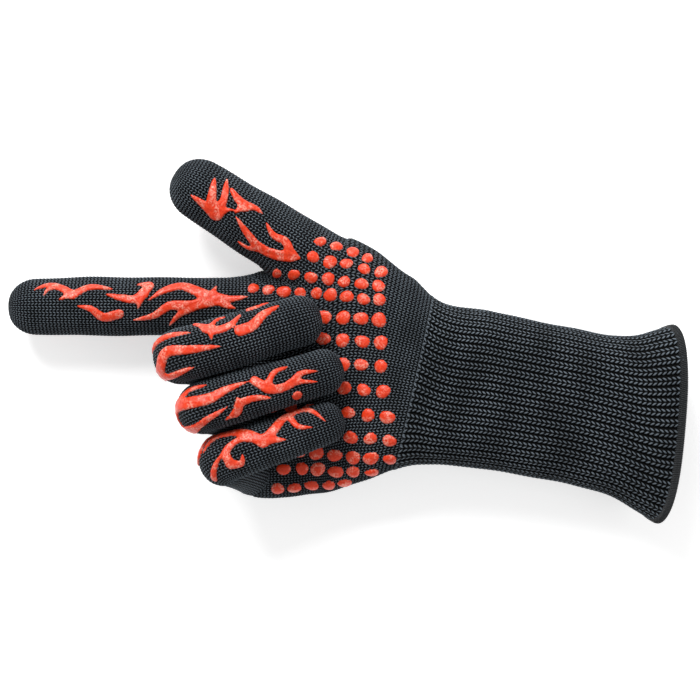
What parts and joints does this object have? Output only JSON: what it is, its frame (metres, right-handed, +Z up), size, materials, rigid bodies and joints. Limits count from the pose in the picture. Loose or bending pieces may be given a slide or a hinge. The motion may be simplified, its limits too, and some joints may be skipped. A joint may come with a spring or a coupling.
{
  "type": "heat resistant glove",
  "caption": "Right hand knitted heat resistant glove with long ribbed cuff and raised silicone grip dots and flame licks, posed pointing with jointed fingers, thumb and wrist.",
  "frame": {"origin": "under the middle of the glove, on the surface that its back lies on", "axes": "+Z up out of the palm, +X from the fingertips towards the cuff, +Y towards the thumb's side"},
  "size_m": [0.335, 0.1792, 0.073],
  "materials": {
    "knit": "black aramid rib and jersey knit",
    "cuff_knit": "black ribbed knit",
    "liner": "soft cotton knit liner",
    "overlock": "black overlock stitching",
    "silicone": "glossy orange red silicone print"
  },
  "bodies": {
    "hand": {"palm_knit": "knit", "palm_liner": "liner", "palm_dots": "silicone", "back_dots": "silicone", "index_mcp_knit": "knit", "middle_mcp_knit": "knit", "ring_mcp_knit": "knit", "little_mcp_knit": "knit", "thumb_mcp_knit": "knit", "wrist_knit": "cuff_knit"},
    "cuff": {"cuff_knit": "cuff_knit", "cuff_binding": "overlock"},
    "index_base": {"index_base_knit": "knit", "index_base_liner": "liner", "index_base_flames": "silicone", "index_pip_knit": "knit"},
    "index_mid": {"index_mid_knit": "knit", "index_mid_liner": "liner", "index_mid_flames": "silicone", "index_dip_knit": "knit"},
    "index_tip": {"index_tip_knit": "knit", "index_tip_liner": "liner", "index_tip_flames": "silicone"},
    "middle_base": {"middle_base_knit": "knit", "middle_base_liner": "liner", "middle_pip_knit": "knit"},
    "middle_mid": {"middle_mid_knit": "knit", "middle_mid_liner": "liner", "middle_mid_flames": "silicone", "middle_dip_knit": "knit"},
    "middle_tip": {"middle_tip_knit": "knit", "middle_tip_liner": "liner", "middle_tip_flames": "silicone"},
    "ring_base": {"ring_base_knit": "knit", "ring_base_liner": "liner", "ring_pip_knit": "knit"},
    "ring_mid": {"ring_mid_knit": "knit", "ring_mid_liner": "liner", "ring_mid_flames": "silicone", "ring_dip_knit": "knit"},
    "ring_tip": {"ring_tip_knit": "knit", "ring_tip_liner": "liner", "ring_tip_flames": "silicone"},
    "little_base": {"little_base_knit": "knit", "little_base_liner": "liner", "little_pip_knit": "knit"},
    "little_mid": {"little_mid_knit": "knit", "little_mid_liner": "liner", "little_mid_flames": "silicone", "little_dip_knit": "knit"},
    "little_tip": {"little_tip_knit": "knit", "little_tip_liner": "liner", "little_tip_flames": "silicone"},
    "thumb_base": {"thumb_base_knit": "knit", "thumb_base_liner": "liner", "thumb_base_flames": "silicone", "thumb_pip_knit": "knit"},
    "thumb_tip": {"thumb_tip_knit": "knit", "thumb_tip_liner": "liner", "thumb_tip_flames": "silicone"}
  },
  "joints": [
    {"name": "index_mcp", "type": "hinge", "parent": "hand", "child": "index_base", "pos_m": [-0.05325, 0.01774, 0.017], "axis": [0, 0.9781, -0.2079], "range_deg": [0, 60], "deforming": ["index_mcp_knit"]},
    {"name": "index_pip", "type": "hinge", "parent": "index_base", "child": "index_mid", "pos_m": [-0.10025, 0.01774, 0.018], "axis": [-0.0044, 0.9781, -0.2079], "range_deg": [0, 82], "deforming": ["index_pip_knit"]},
    {"name": "index_dip", "type": "hinge", "parent": "index_mid", "child": "index_tip", "pos_m": [-0.12925, 0.01774, 0.0186], "axis": [-0.0043, 0.9781, -0.2079], "range_deg": [0, 35], "deforming": ["index_dip_knit"]},
    {"name": "middle_mcp", "type": "hinge", "parent": "hand", "child": "middle_base", "pos_m": [-0.05515, -0.01006, 0.0165], "axis": [-0.1038, 0.9872, -0.1211], "range_deg": [-62.11, 0], "deforming": ["middle_mcp_knit"]},
    {"name": "middle_pip", "type": "hinge", "parent": "middle_base", "child": "middle_mid", "pos_m": [-0.07915, -0.00716, 0.0607], "axis": [-0.2889, 0.9322, -0.218], "range_deg": [-118.44, 0], "deforming": ["middle_pip_knit"]},
    {"name": "middle_dip", "type": "hinge", "parent": "middle_mid", "child": "middle_tip", "pos_m": [-0.04945, 0.00174, 0.0594], "axis": [-0.2865, 0.958, 0.014], "range_deg": [-13.05, 0], "deforming": ["middle_dip_knit"]},
    {"name": "ring_mcp", "type": "hinge", "parent": "hand", "child": "ring_base", "pos_m": [-0.05025, -0.03576, 0.0165], "axis": [-0.2697, 0.9407, -0.2058], "range_deg": [-69.4, 0], "deforming": ["ring_mcp_knit"]},
    {"name": "ring_pip", "type": "hinge", "parent": "ring_base", "child": "ring_mid", "pos_m": [-0.06845, -0.03166, 0.0591], "axis": [-0.2767, 0.9381, -0.2085], "range_deg": [-111.27, 0], "deforming": ["ring_pip_knit"]},
    {"name": "ring_dip", "type": "hinge", "parent": "ring_mid", "child": "ring_tip", "pos_m": [-0.03865, -0.02296, 0.0587], "axis": [-0.2804, 0.9596, -0.0212], "range_deg": [-11.57, 0], "deforming": ["ring_dip_knit"]},
    {"name": "little_mcp", "type": "hinge", "parent": "hand", "child": "little_base", "pos_m": [-0.04475, -0.06426, 0.0165], "axis": [-0.2948, 0.9072, -0.3003], "range_deg": [-74.26, 0], "deforming": ["little_mcp_knit"]},
    {"name": "little_pip", "type": "hinge", "parent": "little_base", "child": "little_mid", "pos_m": [-0.05875, -0.05656, 0.0535], "axis": [-0.3116, 0.8999, -0.3052], "range_deg": [-103.43, 0], "deforming": ["little_pip_knit"]},
    {"name": "little_dip", "type": "hinge", "parent": "little_mid", "child": "little_tip", "pos_m": [-0.03585, -0.04836, 0.0543], "axis": [-0.3302, 0.9349, -0.1305], "range_deg": [-8.17, 0], "deforming": ["little_dip_knit"]},
    {"name": "thumb_mcp", "type": "hinge", "parent": "hand", "child": "thumb_base", "pos_m": [-0.01785, 0.04174, 0.024], "axis": [0.5268, 0.8128, 0.2488], "range_deg": [0, 20], "deforming": ["thumb_mcp_knit"]},
    {"name": "thumb_pip", "type": "hinge", "parent": "thumb_base", "child": "thumb_tip", "pos_m": [-0.04835, 0.06074, 0.0275], "axis": [0.5325, 0.8089, 0.2492], "range_deg": [0, 33], "deforming": ["thumb_pip_knit"]},
    {"name": "wrist", "type": "hinge", "parent": "hand", "child": "cuff", "pos_m": [0.03475, -0.01726, 0.0254], "axis": [0.1923, 0.9813, 0], "range_deg": [-36, 36], "deforming": ["wrist_knit"]}
  ],
  "couplings": [
    {"joint": "index_dip", "follows": "index_pip", "ratio": 0.42679},
    {"joint": "middle_dip", "follows": "middle_pip", "ratio": 0.11018},
    {"joint": "ring_dip", "follows": "ring_pip", "ratio": 0.10397},
    {"joint": "little_dip", "follows": "little_pip", "ratio": 0.07898}
  ]
}
